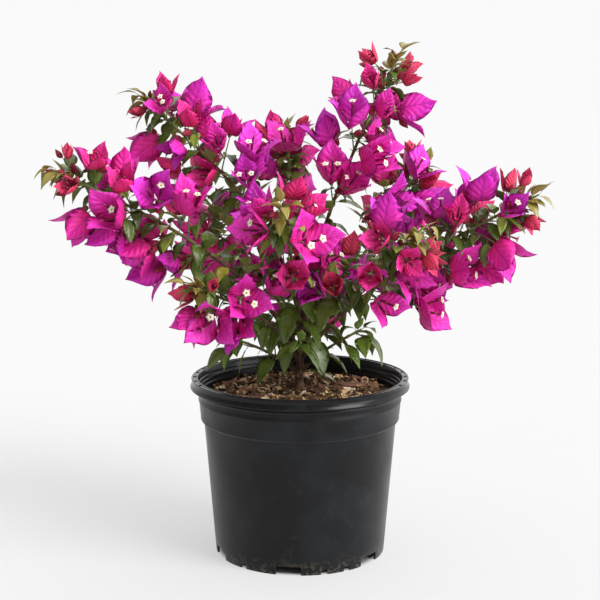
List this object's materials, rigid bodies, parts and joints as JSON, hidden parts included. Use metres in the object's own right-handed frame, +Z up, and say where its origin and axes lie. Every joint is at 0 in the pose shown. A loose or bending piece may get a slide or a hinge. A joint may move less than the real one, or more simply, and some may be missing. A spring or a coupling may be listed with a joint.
{
  "type": "bougainvillea bush in pot",
  "caption": "Young flowering bougainvillea bush: short trunk, arching boughs and masses of leaves and papery pink bracts, standing in a round plastic nursery pot of potting mix.",
  "frame": {"origin": "middle of the pot's flat underside, on the ground", "axes": "+Z up along the pot's axis, -Y towards the front, +X to the right seen from the front"},
  "size_m": [0.5577, 0.3889, 0.5692],
  "materials": {
    "black_plastic": "satin",
    "potting_mix": "rough, loose bark chips",
    "bark": "rough",
    "foliage_in_flower": "papery",
    "leafy_foliage": "satin"
  },
  "bodies": {
    "root": {"pot": "black_plastic", "potting_mix": "potting_mix", "trunk": "bark", "bough_left": "bark", "bough_upper_left": "bark", "bough_upper_right": "bark", "bough_right": "bark", "bough_front": "bark", "bough_front_left": "bark", "bough_front_right": "bark", "bough_back_left": "bark", "bough_back": "bark", "bough_back_right": "bark", "bough_low_back": "bark", "foliage_left": "foliage_in_flower", "foliage_upper_left": "foliage_in_flower", "foliage_upper_right": "foliage_in_flower", "foliage_right": "foliage_in_flower", "foliage_front": "foliage_in_flower", "foliage_front_left": "foliage_in_flower", "foliage_front_right": "foliage_in_flower", "foliage_back_left": "foliage_in_flower", "foliage_back": "foliage_in_flower", "foliage_back_right": "foliage_in_flower", "foliage_low_back": "foliage_in_flower", "foliage_inner_left": "foliage_in_flower", "foliage_inner_right": "foliage_in_flower", "foliage_low_front": "leafy_foliage", "foliage_low_left": "leafy_foliage", "foliage_low_right": "leafy_foliage", "foliage_low_rear": "leafy_foliage"}
  },
  "joints": []
}
